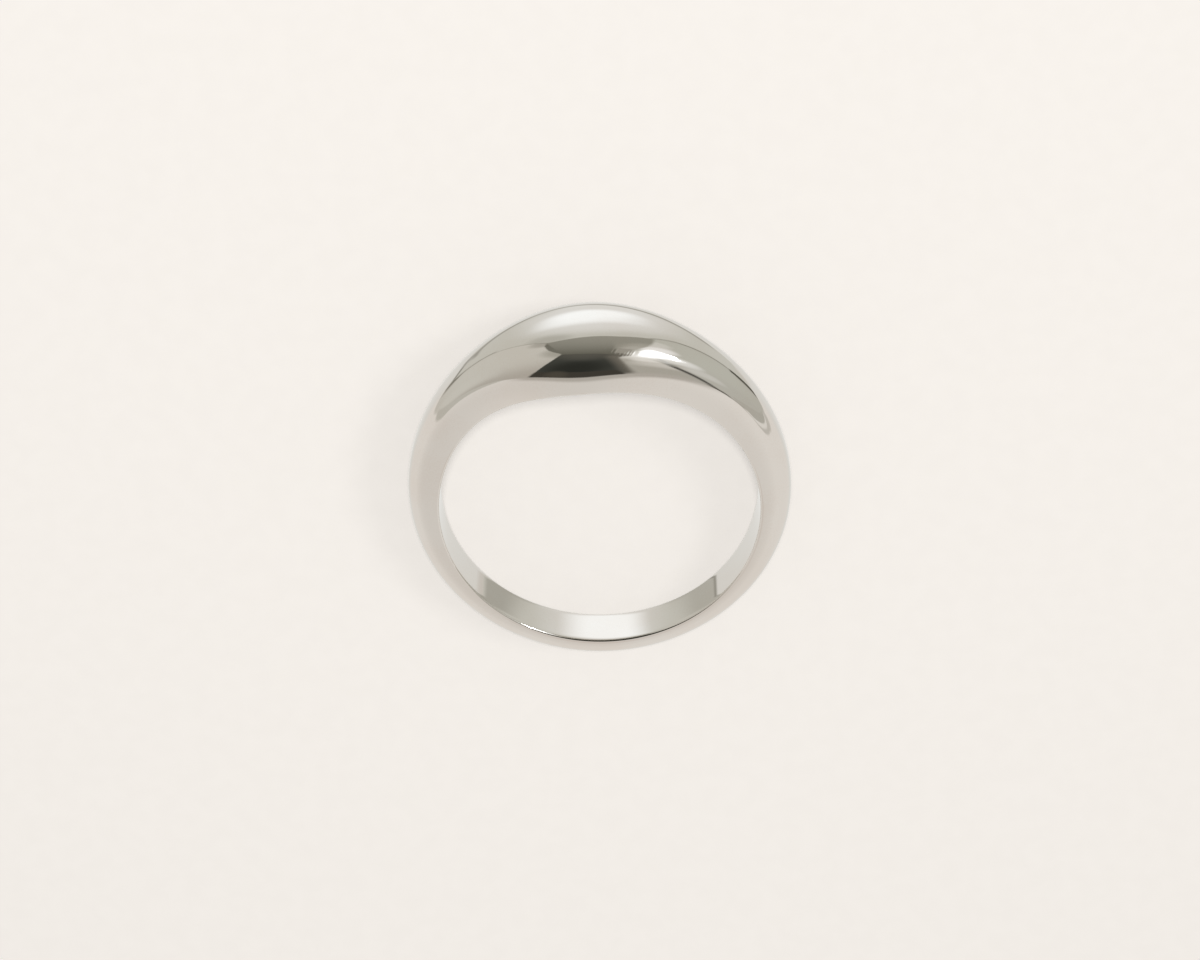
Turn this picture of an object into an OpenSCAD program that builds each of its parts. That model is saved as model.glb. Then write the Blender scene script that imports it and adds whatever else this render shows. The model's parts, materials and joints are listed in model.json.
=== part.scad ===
// Domed statement ring, one solid, lying on its side.
// Sizes are in millimetres and angles in degrees.
// The crown points to -Y, the ring's front side faces up, and the bore leans slightly, because
// the wide crown lifts its end of the ring off the surface that the ring lies on.

/* [Bore] */
// Inside diameter, which sets the ring size
bore_d = 16.5; // [14:0.1:22]
// Radius that rounds the bore's two edges
edge_round = 0.2; // [0.1:0.05:0.4]

/* [Band] */
// Width of the plain band at the back of the finger, along the bore
band_w = 2.44; // [2:0.02:3.4]
// Thickness of the band at the back of the finger
band_t = 1.15; // [0.9:0.05:1.8]

/* [Crown] */
// Thickness of the metal at the middle of the crown
crown_t = 2.46; // [1.8:0.02:3.6]
// How far the front edge stands out beyond the band at the crown's widest place
front_swell = 1.95; // [0.5:0.05:2.6]
// How far the rear edge stands out beyond the band there
rear_swell = 2.2; // [0.5:0.05:2.6]
// Where the crown is widest, as an angle round the bore from its thickest place
peak_angle = -5.5; // [-20:0.5:20]
// Angle over which the front edge falls back to the band on its short side
front_spread = 32; // [20:1:50]
// How much that fall is drawn out on its long side, for each degree
front_trail = 0.027; // [0:0.001:0.05]
// Angle over which the rear edge falls back to the band on both sides
rear_spread = 41.5; // [20:0.5:50]
// How quickly the thickness falls from the crown to the band
taper = 1.6; // [1:0.05:2.5]
// Fullness of the domed section, from 2 for an ellipse to 4 for a squarer one
fullness = 2.7; // [2:0.05:4]

/* [Rest] */
// Which way the ring leans as it lies, as an angle from straight behind the crown
lean_heading = 12; // [-45:0.5:45]

/* [Smoothness] */
// Stations round the ring
stations = 120; // [72:12:144]
// Steps across the dome at each station
dome_steps = 26; // [12:2:32]
// Steps round each edge of the bore
edge_steps = 2; // [1:1:4]

/* [Hidden] */

bore_r = bore_d/2;
// The two places that touch the surface lie on this radius, on opposite sides of the bore
touch_r = bore_r + edge_round;
// The rear edge is that much lower at the crown than at the band, so the ring leans by this angle
lean = atan2(rear_swell, 2*touch_r);
// Depth of the blank's lining inside the bore's wall, which the bore takes away again
lining = 0.5;
// Share of the width by which the lining's corners lie in from the front and rear sides
lining_inset = 0.3;
// How far the edge's last facet runs into the bore, so that the two meet in a clean line
run_out = 0.05;
bore_facets = 180;

// Angle a round the bore, counted from -180 to 180, and the same from the crown's widest place
function turned(a) = a > 180 ? a - 360 : a;
function from_peak(a) = turned(a) - peak_angle;
// The swell's last trace fades out where the two ends of the count meet, behind the finger
fade_power = 8;
function fade(a) = 1 - pow(turned(a)/180, fade_power);
// Distance of the front and rear edges from the band's middle plane at angle a
function front_reach(a) = band_w/2 + front_swell*fade(a)
    *exp(-pow(from_peak(a)/front_spread, 2)/(1 + front_trail*max(0, from_peak(a))));
function rear_reach(a) = band_w/2 + rear_swell*fade(a)
    *exp(-pow(from_peak(a)/rear_spread, 2));

// Thickness of the metal at angle a
function thickness(a) = band_t + (crown_t - band_t)*pow((1 + cos(a))/2, taper);

// A section is a list of [radius, height along the bore] pairs, front side first.
// The dome is half of a squared ellipse, and t goes from 0 at the front to 180 at the rear.
function signed_pow(x, p) = sign(x)*pow(abs(x), p);
function dome_point(a, t) = [
    bore_r + thickness(a)*signed_pow(sin(t), 2/fullness),
    (front_reach(a) - rear_reach(a))/2
        + (front_reach(a) + rear_reach(a))/2*signed_pow(cos(t), 2/fullness)];

// The dome starts where it is edge_round clear of the bore
function dome_start(a) = asin(pow(edge_round/thickness(a), fullness/2));
function dome(a) = [for (i = [0:dome_steps])
    dome_point(a, dome_start(a) + (180 - 2*dome_start(a))*i/dome_steps)];

// The rounded edge goes from the dome's end towards the bore: u is 0 at the side and 90 at the
// bore, and way is 1 on the rear side and -1 on the front side
function edge_point(side_z, u, way) = [
    bore_r + edge_round*(1 - sin(u)), side_z + way*edge_round*(1 - cos(u))];
// Its last facet is drawn out past the bore's wall
function run_out_point(side_z, way) = let (
        last = edge_point(side_z, 90 - 90/(edge_steps + 1), way),
        wall = edge_point(side_z, 90, way),
        reach = 1 + run_out/(last[0] - wall[0]))
    last + (wall - last)*reach;
function edge(side_z, way) = concat(
    [for (i = [1:edge_steps]) edge_point(side_z, 90*i/(edge_steps + 1), way)],
    [run_out_point(side_z, way)]);
function reversed(list) = [for (i = [len(list) - 1:-1:0]) list[i]];

// Whole section of the blank: dome, rear edge, lining inside the bore, front edge
function section(a) = let (
        outer = dome(a),
        front_z = outer[0][1],
        rear_z = outer[dome_steps][1],
        inset = lining_inset*(front_z - rear_z))
    concat(outer,
        edge(rear_z, 1),
        [[bore_r - lining, rear_z + inset], [bore_r - lining, front_z - inset]],
        reversed(edge(front_z, -1)));

// The crown's middle lies towards -Y, and the angle round the bore grows towards -X
function placed(p, a) = [-p[0]*sin(a), -p[0]*cos(a), p[1]];
ring_points = [for (i = [0:stations - 1]) let (a = 360*i/stations)
    for (p = section(a)) placed(p, a)];
section_size = len(section(0));
ring_faces = [for (i = [0:stations - 1], j = [0:section_size - 1]) let (
        here = i*section_size,
        next = (i + 1)%stations*section_size,
        k = (j + 1)%section_size)
    each [[here + j, next + j, next + k], [here + j, next + k, here + k]]];

// The lean turns the ring about a level axis at right angles to its heading
lean_axis = [cos(lean_heading), sin(lean_heading), 0];
function leaned(p) = p*cos(lean) - cross(lean_axis, p)*sin(lean)
    + lean_axis*(lean_axis*p)*(1 - cos(lean));
rest_points = [for (p = ring_points) leaned(p)];
low = [for (k = [0:2]) min([for (p = rest_points) p[k]])];
high = [for (k = [0:2]) max([for (p = rest_points) p[k]])];
// The origin is the middle of the ring's footprint, on the surface
rest_shift = [-(low[0] + high[0])/2, -(low[1] + high[1])/2, -low[2]];

module blank() polyhedron(points = ring_points, faces = ring_faces, convexity = 6);

module bore() {
    bore_h = 4*(band_w + front_swell + rear_swell);
    translate([0, 0, -bore_h/2]) cylinder(h = bore_h, r = bore_r, $fn = bore_facets);
}

module ring() {
    color([0.83, 0.81, 0.77])
        translate(rest_shift) rotate(a = -lean, v = lean_axis)
            difference() {
                blank();
                bore();
            }
}

ring();
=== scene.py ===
"""A polished dome ring that lies on a pale table inside a small light tent."""
import json
import math
import bpy
import numpy as np
from mathutils import Matrix, Vector


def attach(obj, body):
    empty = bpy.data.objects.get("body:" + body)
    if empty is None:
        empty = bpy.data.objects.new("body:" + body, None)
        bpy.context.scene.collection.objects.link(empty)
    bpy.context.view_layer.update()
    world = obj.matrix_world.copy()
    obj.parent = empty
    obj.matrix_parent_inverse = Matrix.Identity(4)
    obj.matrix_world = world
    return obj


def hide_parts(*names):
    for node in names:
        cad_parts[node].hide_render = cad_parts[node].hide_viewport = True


MM = 0.001

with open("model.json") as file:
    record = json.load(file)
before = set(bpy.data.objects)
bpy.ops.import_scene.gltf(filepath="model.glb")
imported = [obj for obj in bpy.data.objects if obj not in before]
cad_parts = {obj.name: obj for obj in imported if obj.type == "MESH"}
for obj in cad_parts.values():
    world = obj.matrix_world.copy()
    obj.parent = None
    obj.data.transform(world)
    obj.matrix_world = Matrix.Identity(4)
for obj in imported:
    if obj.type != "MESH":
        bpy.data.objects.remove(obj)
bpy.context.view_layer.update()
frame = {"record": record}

# The ring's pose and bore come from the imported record: the bore's middle, its axis and its radius
bore_mount = next(m for m in frame["record"]["mounts"] if m["name"] == "finger_bore")
BORE_MIDDLE = Vector(bore_mount["pos_m"])
BORE_AXIS = Vector(bore_mount["axis"])
BORE_R = bore_mount["dims"]["r_mm"]
LEAN = Vector((0, 0, 1)).rotation_difference(BORE_AXIS).to_matrix()

# Driving sizes of the ring in millimetres, and angles round the bore in degrees from the
# crown's middle, as in the part but for the rounding of the edges, which is finer here
EDGE_ROUND = 0.11
BAND_W = 2.44
BAND_T = 1.15
CROWN_T = 2.46
# How far the crown's edges swell out past the band's, and the angle where they do so most
FRONT_SWELL = 1.95
REAR_SWELL = 2.2
PEAK_ANGLE = -5.5
# How far round the bore each swell spreads, and how much slower the front one trails off
FRONT_SPREAD = 32
FRONT_TRAIL = 0.027
REAR_SPREAD = 41.5
# Powers of the taper from crown to band, of the section's squared ellipse, and of the fade
TAPER = 1.6
FULLNESS = 2.7
FADE_POWER = 8

# The mesh: stations round the bore, steps across each stretch of a section, and how many times
# finer the dome's curve is drawn before it is cut into equal steps
STATIONS = 480
DOME_STEPS = 96
EDGE_STEPS = 8
WALL_STEPS = 10
DRAWN_FINER = 12
# Depths by which the mesh stays inside the part's own surface, in millimetres: outwards, and
# along the bore, where the finer edges reach further
SKIN = 0.007
SIDE_SKIN = 0.022


def from_peak(a):
    return a - PEAK_ANGLE


def fade(a):
    """The swell's last trace fades out behind the finger."""
    return 1 - (a/180)**FADE_POWER


def front_reach(a):
    """Distance of the front edge from the band's middle plane at angle a."""
    drawn_out = 1 + FRONT_TRAIL*max(0, from_peak(a))
    return BAND_W/2 + FRONT_SWELL*fade(a)*math.exp(-(from_peak(a)/FRONT_SPREAD)**2/drawn_out)


def rear_reach(a):
    """Distance of the rear edge from the band's middle plane at angle a."""
    return BAND_W/2 + REAR_SWELL*fade(a)*math.exp(-(from_peak(a)/REAR_SPREAD)**2)


def thickness(a):
    """Thickness of the metal at angle a, from the bore to the dome's top."""
    return BAND_T + (CROWN_T - BAND_T)*((1 + math.cos(math.radians(a)))/2)**TAPER


def evenly(points, steps):
    """The same line of [radius, height] points, cut into steps of equal length."""
    points = np.array(points)
    run = np.concatenate([[0], np.cumsum(np.linalg.norm(np.diff(points, axis=0), axis=1))])
    marks = np.linspace(0, run[-1], steps + 1)
    return np.column_stack([np.interp(marks, run, points[:, k]) for k in (0, 1)])


def dome(a):
    """The domed outside at angle a, half of a squared ellipse, from the front side to the rear."""
    front, rear, thick = front_reach(a), rear_reach(a), thickness(a) - SKIN
    start = math.asin((EDGE_ROUND/thick)**(FULLNESS/2))
    power = 2/FULLNESS
    line = []
    for t in np.linspace(start, math.pi - start, DRAWN_FINER*DOME_STEPS + 1):
        across = math.copysign(abs(math.cos(t))**power, math.cos(t))
        line.append([BORE_R + thick*math.sin(t)**power,
                     (front - rear)/2 + ((front + rear)/2 - SIDE_SKIN)*across])
    return evenly(line, DOME_STEPS)


def edge(side_z, way):
    """The rounded edge from a side to the bore; way is 1 at the rear and -1 at the front."""
    turns = np.linspace(0, math.pi/2, EDGE_STEPS + 1)[1:]
    return np.column_stack([BORE_R + EDGE_ROUND*(1 - np.sin(turns)),
                            side_z + way*EDGE_ROUND*(1 - np.cos(turns))])


def section(a):
    """The closed section at angle a: dome, rear edge, bore wall, front edge."""
    outside = dome(a)
    rear_edge = edge(outside[-1, 1], 1)
    front_edge = edge(outside[0, 1], -1)[::-1]
    heights = np.linspace(rear_edge[-1, 1], front_edge[0, 1], WALL_STEPS + 1)[1:-1]
    wall = np.column_stack([np.full_like(heights, BORE_R), heights])
    return np.concatenate([outside, rear_edge, wall, front_edge])


def ring_mesh():
    """The whole ring in its resting place, with a map whose u goes round the bore."""
    angles = [360*i/STATIONS - 180 for i in range(STATIONS)]
    sections = [section(a) for a in angles]
    size = len(sections[0])
    points = []
    for a, line in zip(angles, sections):
        turn = math.radians(a)
        for r, z in line:
            place = Vector((-r*math.sin(turn), -r*math.cos(turn), z))
            points.append(LEAN @ place*MM + BORE_MIDDLE)
    faces = []
    # The map's corners run on to the full turn, where the faces come back to the first points
    corners = []
    for i in range(STATIONS):
        for j in range(size):
            here, ahead = i*size, (i + 1) % STATIONS*size
            k = (j + 1) % size
            faces.append((here + j, here + k, ahead + k, ahead + j))
            corners += [(i, j), (i, j + 1), (i + 1, j + 1), (i + 1, j)]
    mesh = bpy.data.meshes.new("ring_polished")
    mesh.from_pydata(points, [], faces)
    round_map = mesh.uv_layers.new(name="round")
    for loop, (i, j) in zip(round_map.data, corners):
        loop.uv = (i/STATIONS, j/size)
    mesh.shade_smooth()
    mesh.validate()
    return mesh


# The share of a spot's reach over which it keeps its full strength
SPOT_CORE = 0.3


class Nodes:
    """Short ways to add and join shader nodes in one tree."""

    def __init__(self, tree):
        self.tree = tree
        tree.nodes.clear()

    def add(self, kind, inputs=(), **settings):
        """A new node; inputs are (socket, value or output) pairs."""
        node = self.tree.nodes.new(kind)
        for name, value in settings.items():
            setattr(node, name, value)
        for socket, value in inputs:
            self.set(node.inputs[socket], value)
        return node

    def set(self, socket, value):
        if isinstance(value, bpy.types.NodeSocket):
            self.tree.links.new(value, socket)
        else:
            socket.default_value = value

    def math(self, operation, a, b=0.0):
        return self.add("ShaderNodeMath", [(0, a), (1, b)], operation=operation).outputs[0]

    def ramp(self, value, start, end, low=0.0, high=1.0):
        """low before start, high after end, and a smooth change between them."""
        inputs = [(0, value), (1, start), (2, end), (3, low), (4, high)]
        node = self.add("ShaderNodeMapRange", inputs, interpolation_type="SMOOTHSTEP")
        return node.outputs[0]

    def dot(self, vector, constant):
        node = self.add("ShaderNodeVectorMath", [(0, vector), (1, constant)],
                        operation="DOT_PRODUCT")
        return node.outputs["Value"]

    def blend(self, share, a, b):
        """Colour a where share is 0 and colour b where it is 1."""
        node = self.add("ShaderNodeMix", data_type="RGBA")
        for socket, value in (("Factor_Float", share), ("A_Color", a), ("B_Color", b)):
            self.set(next(s for s in node.inputs if s.identifier == socket), value)
        return next(s for s in node.outputs if s.identifier == "Result_Color")

    def noise(self, vector, scale, detail, rough=0.5):
        node = self.add("ShaderNodeTexNoise", [("Vector", vector), ("Scale", scale),
                                               ("Detail", detail), ("Roughness", rough)])
        return node.outputs[0]

    def spot(self, vector, middle, reach):
        """1 about the middle and 0 outside the ellipse of the given reach."""
        scale = [1/r for r in reach] + [0]
        shift = [-m/r for m, r in zip(middle, reach)] + [0]
        node = self.add("ShaderNodeMapping",
                        [("Vector", vector), ("Location", shift), ("Scale", scale)])
        away = self.add("ShaderNodeVectorMath", [(0, node.outputs[0])], operation="LENGTH")
        return self.ramp(away.outputs["Value"], SPOT_CORE, 1, 1, 0)

    def stretched(self, vector, scale):
        node = self.add("ShaderNodeMapping", [("Vector", vector), ("Scale", scale)])
        return node.outputs[0]

    def bump(self, height, strength, depth, under=None):
        """The normal over a relief, some millimetres deep, that lies on the relief under it."""
        node = self.add("ShaderNodeBump", [("Height", height), ("Strength", strength),
                                           ("Distance", depth*MM)])
        if under is not None:
            self.set(node.inputs["Normal"], under)
        return node.outputs[0]


def linear(tone):
    """One 0 to 255 display value as linear light; values past 255 are brighter than white."""
    v = tone/255
    return v/12.92 if v <= 0.04045 else ((v + 0.055)/1.055)**2.4


def colour(tone, over=(1, 1, 1)):
    """A display tone as a shader's colour, divided by the colour of what mirrors it."""
    return tuple(linear(t)/o for t, o in zip(tone, over)) + (1,)


# What the steel gives back, head on, of the light that it reflects, and the faint tints of it
STEEL = (0.76, 0.735, 0.695)
WARM_TINT = (0.985, 0.972, 0.965)
COOL_TINT = (1.01, 1.015, 1.02)
# Roughness of the clearest and the haziest steel, and what a polishing line adds to it
CLEAR_ROUGH = 0.014
HAZY_ROUGH = 0.034
LINE_ROUGH = 0.016
# Noise cells to the metre, of the steel's hazy clouds, its waves and its pits, and of the mottle
# in the table's paper
CLOUD_SCALE = 260
WAVE_SCALE = 330
PIT_SCALE = 9000
MOTTLE_SCALE = 900
# Noise cells to the whole map, round the bore and round the section, of the polishing lines
LINE_SCALE = (14, 420, 1)
# The same for the polishing strokes: across them, with their slant, and along them
STROKES_ACROSS = (330, -33, 0)
STROKES_ALONG = (0, 9, 0)
# Where polishing strokes show on the map: middle, reach and strength. They lie on the crown, left
# of its highlight, and on the bore's front edge
STROKES_SPOTS = [((0.518, 0.181), (0.017, 0.024), 1.0), ((0.0764, 0.965), (0.018, 0.07), 0.4)]


def steel(tint):
    return tuple(c*k for c, k in zip(STEEL, tint)) + (1,)


def metal_material():
    """Mirror-polished steel: faint tone changes, hazier patches, polishing lines, tiny pits."""
    material = bpy.data.materials.new("polished_steel")
    material.use_nodes = True
    n = Nodes(material.node_tree)
    place = n.add("ShaderNodeTexCoord").outputs["Object"]
    round_map = n.add("ShaderNodeUVMap", uv_map="round").outputs["UV"]
    # Polishing leaves faint lines that run round the band
    lines = n.noise(n.stretched(round_map, LINE_SCALE), 1, detail=3, rough=0.6)
    cloud = n.noise(place, CLOUD_SCALE, detail=3)
    pits = n.noise(place, PIT_SCALE, detail=2, rough=0.7)
    waves = n.noise(place, WAVE_SCALE, detail=1)
    # Noise keeps to about 0.2 to 0.8, and the ramps over it start and end within that
    speckle = n.ramp(pits, 0.2, 0.8, -0.1, 0.1)
    tint = n.ramp(n.math("ADD", cloud, speckle), 0.35, 0.65)
    base = n.blend(tint, steel(WARM_TINT), steel(COOL_TINT))
    haze = n.ramp(cloud, 0.3, 0.7, CLEAR_ROUGH, HAZY_ROUGH)
    rough = n.math("ADD", haze, n.ramp(lines, 0.45, 0.8, 0, LINE_ROUGH))
    # Short strokes of the polishing, slanting across the band, stay at two spots
    shares = [n.math("MULTIPLY", n.spot(round_map, middle, reach), strength)
              for middle, reach, strength in STROKES_SPOTS]
    slanting = n.add("ShaderNodeCombineXYZ", [(0, n.dot(round_map, STROKES_ACROSS)),
                                              (1, n.dot(round_map, STROKES_ALONG))]).outputs[0]
    strokes = n.math("MULTIPLY", n.noise(slanting, 1, detail=1), n.math("ADD", *shares))
    waved = n.bump(waves, strength=0.02, depth=0.1)
    lined = n.bump(lines, strength=0.012, depth=0.02, under=waved)
    pitted = n.bump(pits, strength=0.012, depth=0.01, under=lined)
    stroked = n.bump(strokes, strength=0.2, depth=0.03, under=pitted)
    shader = n.add("ShaderNodeBsdfPrincipled", [("Base Color", base), ("Metallic", 1.0),
                                                ("Roughness", rough), ("Normal", stroked)])
    n.add("ShaderNodeOutputMaterial", [("Surface", shader.outputs[0])])
    return material


# The table's paper, in two tones that barely differ, and its even glow, as if lit from below
PAPER = (0.806, 0.768, 0.724, 1)
PALER_PAPER = (0.816, 0.778, 0.734, 1)
TABLE_GLOW = 0.52
# The table is a disc: its radius in metres, and how many corners its rim has
TABLE_RADIUS = 0.5
TABLE_CORNERS = 96


def table_material():
    """Plain pale paper with a barely visible mottle."""
    material = bpy.data.materials.new("pale_table")
    material.use_nodes = True
    n = Nodes(material.node_tree)
    place = n.add("ShaderNodeTexCoord").outputs["Object"]
    mottle = n.ramp(n.noise(place, MOTTLE_SCALE, detail=3), 0.3, 0.7)
    tone = n.blend(mottle, PAPER, PALER_PAPER)
    shader = n.add("ShaderNodeBsdfPrincipled",
                   [("Base Color", tone), ("Roughness", 1.0), ("Specular IOR Level", 0.0),
                    ("Emission Color", tone), ("Emission Strength", TABLE_GLOW)])
    n.add("ShaderNodeOutputMaterial", [("Surface", shader.outputs[0])])
    return material


def table():
    """The pale surface that the ring lies on."""
    turns = [2*math.pi*i/TABLE_CORNERS for i in range(TABLE_CORNERS)]
    rim = [(TABLE_RADIUS*math.cos(t), TABLE_RADIUS*math.sin(t), 0) for t in turns]
    mesh = bpy.data.meshes.new("table")
    mesh.from_pydata(rim, [], [tuple(range(TABLE_CORNERS))])
    mesh.materials.append(table_material())
    piece = bpy.data.objects.new("table", mesh)
    bpy.context.collection.objects.link(piece)
    # The polish mirrors the tent's own floor in its stead
    piece.visible_glossy = False
    return piece


# The light tent that the polish mirrors. It is laid over with the ring, so the bore's axis points
# to its dark front opening and the crown to its ceiling. A direction in it is an azimuth from the
# front, growing towards the picture's right and on round past the back at 180, and an elevation
# towards the crown, both in degrees. Tones are 0 to 255, as they show in the metal, and those past
# 255 are brighter than white. A glow is (middle, inner angle, outer angle, tone).

# Bulbs shine through the window, one strong and two faint
BULB_TONE = (1400, 1400, 1386)
FAINT_BULB_TONE = (600, 600, 594)
# The window's light on the right wall and on the front panel beside it
WINDOW_SHINE = [((61, 52), 3, 20, (216, 212, 203)), ((62, 52), 2, 11, (255, 253, 249))]
FRONT_GLOWS = [((48, 32), 0, 18, (195, 190, 180)),
               ((49, 43), 2, 11, (216, 211, 202))] + WINDOW_SHINE
# What lies behind all the panels, the ceiling: its tone and its glows
CEILING = ((88, 85, 74), [((165, 30), 5, 85, (144, 140, 128)), ((80, 66), 0, 12, (156, 151, 140))])
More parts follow.
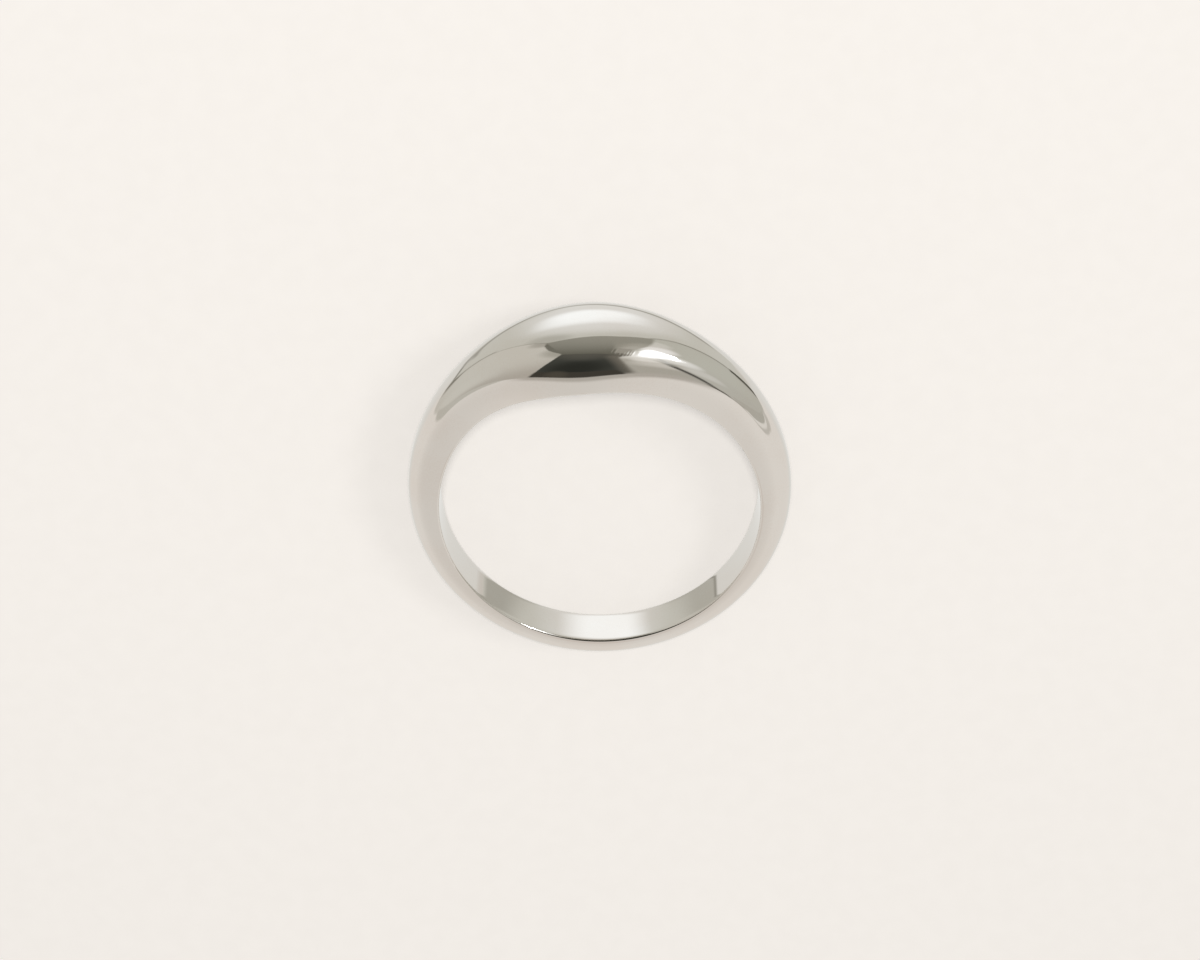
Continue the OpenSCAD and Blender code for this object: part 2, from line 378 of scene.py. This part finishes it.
# A panel is its name, its corners, the softness of its edges in degrees, its tone and its glows,
# and lies over the panels before it. It is everything inside the edges that run from corner to
# corner in turn. With two corners there is one edge, and the panel is all that is on the front's
# side of it. With one corner the panel is round, and fades from its middle out to the softness.
PANELS = [
    # The dark front opening and the lighter panel at its right
    ("opening", [(-74, 66.2), (39, 67.3)], 1.0, (60, 60, 54),
     [((-13, 30), 3, 34, (42, 42, 37)), ((0, 90), 8, 40, (84, 81, 73)),
      ((-28, 12), 1, 13, (70, 66, 57))]),
    ("front_haze", [(22.5, -6), (60, -6), (60, 66), (22.5, 64.5)], 4.5, (104, 99, 89), []),
    ("front_panel", [(25.5, -5), (60, -5), (60, 56), (33.5, 56), (31.3, 54), (28.6, 45),
                     (26.6, 30)], 2.2, (164, 159, 148), FRONT_GLOWS),
    ("front_panel_top", [(32.5, 50), (64, 50), (64, 60), (37, 58.9), (34.6, 57.2)], 2.6,
     (164, 159, 148), FRONT_GLOWS),
    # The side walls, the ceiling above them, and the seam between front panel and right wall
    ("left_wall", [(-137, -5), (-43.5, -5), (-48.1, 28), (-51.3, 40), (-55.3, 50), (-74, 66.2),
                   (-140.5, 49.3)], 0.8, (168, 161, 150),
     [((-118, 34), 8, 70, (191, 186, 175)), ((-84, 6), 0, 22, (192, 187, 176)),
      ((-88, 70), 4, 20, (158, 153, 141)), ((-139, 49), 0, 10, (162, 157, 146))]),
    ("ceiling_fold", [(-75, 67.2), (-140.5, 49.8), (-131.5, 52.2), (-112, 58.8), (-96, 63.2)],
     0.6, (108, 105, 94), []),
    ("right_wall", [(46.5, -7), (150, -7), (150, 42.5), (51, 64)], 1.4, (174, 170, 159),
     [((110, 40), 5, 45, (178, 175, 163)), ((60, 22), 0, 12, (191, 187, 178)),
      ((128, 54), 1, 9, (194, 190, 180)), ((108, 58), 2, 12, (198, 193, 184)),
      ((97, 57), 0, 12, (226, 222, 216)), ((67, 40), 2, 14, (213, 210, 203))] + WINDOW_SHINE),
    ("ceiling_right", [(147, 45.2), (136.3, 51.4), (123.5, 57.6), (109, 62), (97, 65), (85, 67),
                       (70, 77), (160, 66)], 1.6, (141, 137, 125),
     [((104, 63), 0, 16, (158, 153, 141)), ((88, 66), 0, 12, (168, 163, 152))]),
    ("ceiling_shoulder", [(76, 68.8), (68, 67), (60, 65), (50, 61.6), (45, 60.6), (47, 72),
                          (72, 76)], 1.4, (116, 112, 101), [((72, 68), 0, 16, (150, 145, 134))]),
    ("front_right_seam", [(43.7, -2), (46.9, -2), (50.6, 28), (46.7, 28)], 1.2, (82, 79, 73), []),
    ("front_right_seam_top", [(46.8, 27), (51, 27), (52.2, 34), (49.2, 34)], 2.0,
     (126, 123, 116), []),
    # The bright window at the right, with the bulbs behind it
    ("window_glow", [(70, 44)], 7.0, (250, 249, 245), [((71.5, 44), 0, 3, FAINT_BULB_TONE)]),
    ("streak_tail", [(50, 33), (53, 33), (58.5, 45.5), (56, 45.5)], 1.8, (186, 184, 178), []),
    ("key_window", [(54, 57), (60, 60.4), (70, 63.3), (86, 63.8), (95, 61.3), (94.5, 58.5),
                    (89, 53), (84, 48.8), (76, 45.6), (66, 45), (60, 46.6), (54.5, 50)], 2.4,
     (292, 292, 290), [((75, 56), 1, 4, FAINT_BULB_TONE), ((77, 49), 1, 5, BULB_TONE)]),
    # The back wall, and the seams and shades where it meets the side walls
    ("back_wall_side", [(132, -5), (137.5, -5), (145, 36), (143.3, 33), (135.2, 15), (133, 6)],
     0.8, (190, 186, 175), []),
    ("back_wall", [(136.2, -5), (-137, -5), (-141.5, 49.4), (-150, 57), (180, 60), (155, 53.2),
                   (147, 47.5)], 0.8, (189, 185, 174),
     [((-147, 46), 1, 14, (171, 167, 156)), ((180, 25), 4, 29, (214, 210, 203)),
      ((180, 8), 2, 12, (212, 208, 200))]),
    ("ceiling_back", [(-138, 48.4), (-152, 53.2), (-166, 55.2), (180, 56.1), (162, 56.1),
                      (160, 62), (-138, 60)], 0.8, *CEILING),
    ("back_left_seam", [(-133, 7), (-135.5, 7), (-141, 21), (-138.8, 21)], 1.2,
     (150, 145, 134), []),
    ("back_left_shade", [(-130, 0.5), (-123, 0.5), (-124, 4.5), (-131, 6.5)], 2.5,
     (158, 152, 142), []),
    ("back_left_foot", [(-135, 0), (-128.5, 0), (-131, 7), (-136, 8)], 1.6, (116, 111, 100), []),
    ("back_right_shade", [(127.5, -2), (132, -2), (132, 11), (128.5, 11)], 1.5,
     (128, 124, 114), []),
    ("back_right_foot", [(130, -2), (136.2, -2), (137.2, 11), (131.2, 13.5)], 0.9,
     (80, 77, 68), []),
    ("back_right_seam", [(134.2, 12), (137.4, 12), (144.6, 34), (141.8, 34)], 1.1,
     (136, 132, 121), []),
    ("back_right_seam_top", [(142, 33), (144.8, 33), (148.6, 47), (146.2, 47)], 1.1,
     (150, 146, 135), []),
    # Folds along the foot of the back wall
    ("back_floor_fold", [(151, 5), (154, 8.6), (160, 9), (188, 2), (188, -1.5)], 1.2,
     (156, 152, 142), []),
    ("back_floor_rise", [(148, -3), (172, -3), (164, 3.4), (157, 4.6), (152, 2)], 1.2,
     (211, 207, 199), []),
    ("back_left_fold", [(186, -1.2), (186, 2), (200, 4.8), (212, 4.6), (212, 1.8)], 1.2,
     (154, 150, 140), []),
    # The floor, and the shade and the crease at its rear
    ("floor", [(-137, -1), (-44, -0.5), (51, -0.5), (135, -1)], 1.0, (213, 206, 197),
     [((-15, -12), 8, 56, (201, 194, 185)), ((180, -20), 38, 60, (207, 203, 195)),
      ((145, -1), 0, 5, (194, 187, 177)), ((0, -39), 1, 5, (196, 186, 176))]),
    ("back_floor_shade", [(175, -1.5), (175, 3), (193, 3), (193, -1.5)], 3.0,
     (170, 166, 156), []),
    ("back_left_crease", [(211.5, -0.6), (212.5, -2.3), (225, 1.3), (225, 2.9)], 1.0,
     (130, 126, 116), []),
    ("back_left_crease_end", [(208.6, 2.2), (211.4, -2.2), (213.4, -1.8), (210.6, 2.6)], 1.0,
     (156, 152, 143), []),
    # Where the floor meets the front opening and the side walls
    ("front_foot", [(-51, 2), (-47, -7), (34, -8), (47, 2)], 4.5, (170, 163, 153), []),
    ("opening_foot", [(-45.4, 1.4), (-46.4, 16), (20, 16), (23, 1.4)], 1.3, (60, 56, 49),
     [((-28, 10), 1, 13, (71, 66, 57))]),
    ("left_foot", [(-54, 0), (-57, -11), (-72, -6), (-95, 1)], 1.0, (180, 175, 164), []),
    ("right_crease_end", [(80, 0), (80, -9.4), (98, -6.2), (108, -3.4), (112, 0)], 1.0,
     (187, 181, 171), []),
    ("right_crease", [(47, 0), (52, -13.5), (60, -15.2), (72, -11.8), (84, -8), (98, -3.6),
                      (106, 0)], 0.8, (183, 177, 167), []),
    ("right_hem", [(49, 0), (53, -11.5), (60, -13), (72, -9.6), (84, -5.9), (97, -1.8),
                   (103, 0)], 0.8, (209, 203, 194), []),
    ("right_foot", [(50, 1), (55, -9), (62, -8.6), (72, -6.6), (84, -3.9), (97, -0.6),
                    (100, 1)], 0.8, (168, 163, 152), []),
    ("front_right_foot", [(43.3, 2.5), (46.8, 2.5), (54, -5.5), (52, -7), (46, -3)], 1.2,
     (156, 151, 140), [((45.3, 1), 1, 6, (86, 82, 74))]),
]
# The plain backdrop in the camera's view, and the even white light for the table
BACKGROUND = (245, 240, 234)
FILL = 0.22
WHITE = (1, 1, 1, 1)


def tent_direction(azimuth, elevation):
    """A direction in the tent as a vector in the ring's resting place."""
    az, el = math.radians(azimuth), math.radians(elevation)
    return LEAN @ Vector((-math.cos(el)*math.sin(az), -math.sin(el), math.cos(el)*math.cos(az)))


def middle_of(name, corners):
    """A direction that is well inside a panel."""
    # The floor's corners all lie near the horizon, and its middle is straight down
    if name == "floor":
        return tent_direction(0, -90)
    if len(corners) == 2:
        return tent_direction(0, 0)
    return sum((tent_direction(*c) for c in corners), Vector()).normalized()


def glowing(n, direction, tone, glows):
    """A panel's colour towards a direction, with its glows laid over its plain tone."""
    result = colour(tone, STEEL)
    for middle, inner, outer, glow_tone in glows:
        share = n.ramp(n.dot(direction, tent_direction(*middle)),
                       math.cos(math.radians(outer)), math.cos(math.radians(inner)))
        result = n.blend(share, result, colour(glow_tone, STEEL))
    return result


def inside(n, direction, name, corners, softness):
    """1 inside a panel and 0 outside it, with soft edges."""
    if len(corners) == 1:
        facing = n.dot(direction, tent_direction(*corners[0]))
        return n.ramp(facing, math.cos(math.radians(softness)), 1)
    middle = middle_of(name, corners)
    soft = math.sin(math.radians(softness))
    points = [tent_direction(*c) for c in corners]
    pairs = list(zip(points, points[1:]))
    if len(points) > 2:
        pairs.append((points[-1], points[0]))
    share = None
    for a, b in pairs:
        side = a.cross(b).normalized()
        if side.dot(middle) < 0:
            side = -side
        within = n.ramp(n.dot(direction, side), -soft, soft)
        share = within if share is None else n.math("MULTIPLY", share, within)
    return share


def light_tent():
    """The world: the tent for rays from the polish, the backdrop for the camera's own, and the
    even fill for all others, also those that reach the polish from the table."""
    world = bpy.data.worlds.new("light_tent")
    bpy.context.scene.world = world
    world.use_nodes = True
    n = Nodes(world.node_tree)
    direction = n.add("ShaderNodeTexCoord").outputs["Generated"]
    tent = glowing(n, direction, *CEILING)
    for name, corners, softness, tone, glows in PANELS:
        tent = n.blend(inside(n, direction, name, corners, softness), tent,
                       glowing(n, direction, tone, glows))
    mirrored = n.add("ShaderNodeBackground", [("Color", tent)]).outputs[0]
    backdrop = n.add("ShaderNodeBackground", [("Color", colour(BACKGROUND))]).outputs[0]
    fill = n.add("ShaderNodeBackground", [("Color", WHITE), ("Strength", FILL)]).outputs[0]
    path = n.add("ShaderNodeLightPath").outputs
    straight = n.ramp(path["Diffuse Depth"], 0, 1, 1, 0)
    polish = n.math("MULTIPLY", path["Is Glossy Ray"], straight)
    lit = n.add("ShaderNodeMixShader", [(0, polish), (1, fill), (2, mirrored)])
    shown = n.add("ShaderNodeMixShader", [(0, path["Is Camera Ray"]), (1, lit.outputs[0]),
                                          (2, backdrop)])
    n.add("ShaderNodeOutputWorld", [("Surface", shown.outputs[0])])


# Cards that stand near enough behind the ring to shift between the dome's top and the bore's
# bottom: a bright window and two dim patches. A card is its name, its middle from the bore's
# middle in millimetres, rightwards, towards the crown and backwards, its reach sideways and
# upwards, its reach below the middle, and its tone. The cut below fades over twice the softness
CARD_SOFTNESS = 0.35
CARDS = [
    ("window_card", (-5.5, 56, 90), (43, 19), 19, (245, 244, 240)),
    ("right_card", (5.15, -5, 15), (5.9, 4.6), 0.7, (163, 159, 148)),
    ("left_card", (-5.15, -5, 15), (5.9, 4.6), 0.7, (171, 167, 156)),
]


def card_material(name, reach, below, tone):
    """A glow of one tone that fades outwards to a soft oval and is cut off below its middle."""
    material = bpy.data.materials.new(name)
    material.use_nodes = True
    n = Nodes(material.node_tree)
    position = n.add("ShaderNodeTexCoord").outputs["Object"]
    oval = n.spot(position, (0, 0), [r*MM for r in reach])
    # The crown's side is towards -y in the card's own frame too
    cut = n.ramp(n.dot(position, (0, 1, 0)), (below - CARD_SOFTNESS)*MM,
                 (below + CARD_SOFTNESS)*MM, 1, 0)
    clear = n.add("ShaderNodeBsdfTransparent").outputs[0]
    glow = n.add("ShaderNodeEmission", [("Color", colour(tone, STEEL))]).outputs[0]
    shown = n.add("ShaderNodeMixShader", [(0, n.math("MULTIPLY", oval, cut)), (1, clear),
                                          (2, glow)])
    n.add("ShaderNodeOutputMaterial", [("Surface", shown.outputs[0])])
    return material


def card(name, place, reach, below, tone):
    """One card behind the ring, that shows in the polish alone."""
    wide, high = reach
    low = below + CARD_SOFTNESS
    corners = [(x*wide*MM, y*MM, 0) for x, y in ((-1, -high), (1, -high), (1, low), (-1, low))]
    mesh = bpy.data.meshes.new(name)
    mesh.from_pydata(corners, [], [(0, 1, 2, 3)])
    mesh.materials.append(card_material(name, reach, below, tone))
    piece = bpy.data.objects.new(name, mesh)
    bpy.context.collection.objects.link(piece)
    rightwards, upwards, backwards = place
    middle = BORE_MIDDLE + LEAN @ Vector((-rightwards, -upwards, -backwards))*MM
    piece.matrix_world = Matrix.Translation(middle) @ LEAN.to_4x4()
    piece.visible_camera = False
    piece.visible_diffuse = False
    piece.visible_shadow = False
    return piece


# The camera's place, solved from the photo: its angle above the bore's axis, its distance in
# millimetres, its focal length in the photo's pixels, and the picture's middle from the bore's
# middle in millimetres, rightwards and upwards. It shows nothing nearer than the last value
VIEW_ANGLE = 33.5
VIEW_DISTANCE = 164.3
FOCAL_PIXELS = 3179.5
PHOTO_WIDTH = 1200
AIM_RIGHT = -0.014
AIM_UP = -0.937
NEAREST = 10


def camera():
    """The camera at the photo's angle to the ring."""
    tilt = math.radians(VIEW_ANGLE)
    right = LEAN @ Vector((-1, 0, 0))
    up = LEAN @ Vector((0, -math.cos(tilt), -math.sin(tilt)))
    back = LEAN @ Vector((0, -math.sin(tilt), math.cos(tilt)))
    data = bpy.data.cameras.new("camera")
    data.sensor_fit = "HORIZONTAL"
    data.lens = data.sensor_width*FOCAL_PIXELS/PHOTO_WIDTH
    data.clip_start = NEAREST*MM
    piece = bpy.data.objects.new("camera", data)
    bpy.context.collection.objects.link(piece)
    offset = back*VIEW_DISTANCE - right*AIM_RIGHT - up*AIM_UP
    turn = Matrix((right, up, back)).transposed().to_4x4()
    piece.matrix_world = Matrix.Translation(BORE_MIDDLE + offset*MM) @ turn
    bpy.context.scene.camera = piece
    return piece


# A lamp behind the camera, whose shadows hide behind the ring: watts, radius in millimetres, and
# its distance from the bore as a share of the camera's
CAMERA_LAMP = (1.24, 21, 1.8)
# A lamp from the side: strength, direction towards it, spread in degrees
SIDE_LAMP = (0.34, (-0.9, -0.42, 0.95), 20)


def table_lamps(view):
    """Two soft lamps for the table, that don't show in the polish."""
    strength, towards, spread = SIDE_LAMP
    sun = bpy.data.lights.new("side_lamp", "SUN")
    sun.energy = strength
    sun.angle = math.radians(spread)
    side = bpy.data.objects.new("side_lamp", sun)
    side.rotation_euler = Vector(towards).to_track_quat("Z", "Y").to_euler()
    watts, radius, share = CAMERA_LAMP
    bulb = bpy.data.lights.new("camera_lamp", "POINT")
    bulb.energy = watts
    bulb.shadow_soft_size = radius*MM
    front = bpy.data.objects.new("camera_lamp", bulb)
    front.location = BORE_MIDDLE.lerp(view.matrix_world.translation, share)
    for piece in (side, front):
        bpy.context.collection.objects.link(piece)
        piece.visible_glossy = False
        piece.visible_camera = False


light_tent()
table_lamps(camera())
table()
for settings in CARDS:
    card(*settings)
# The tones are given as they show, so the view changes none of them
bpy.context.scene.view_settings.view_transform = "Standard"

ring = bpy.data.objects.new("ring_polished", ring_mesh())
bpy.context.collection.objects.link(ring)
ring.data.materials.append(metal_material())
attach(ring, "root")
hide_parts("ring")
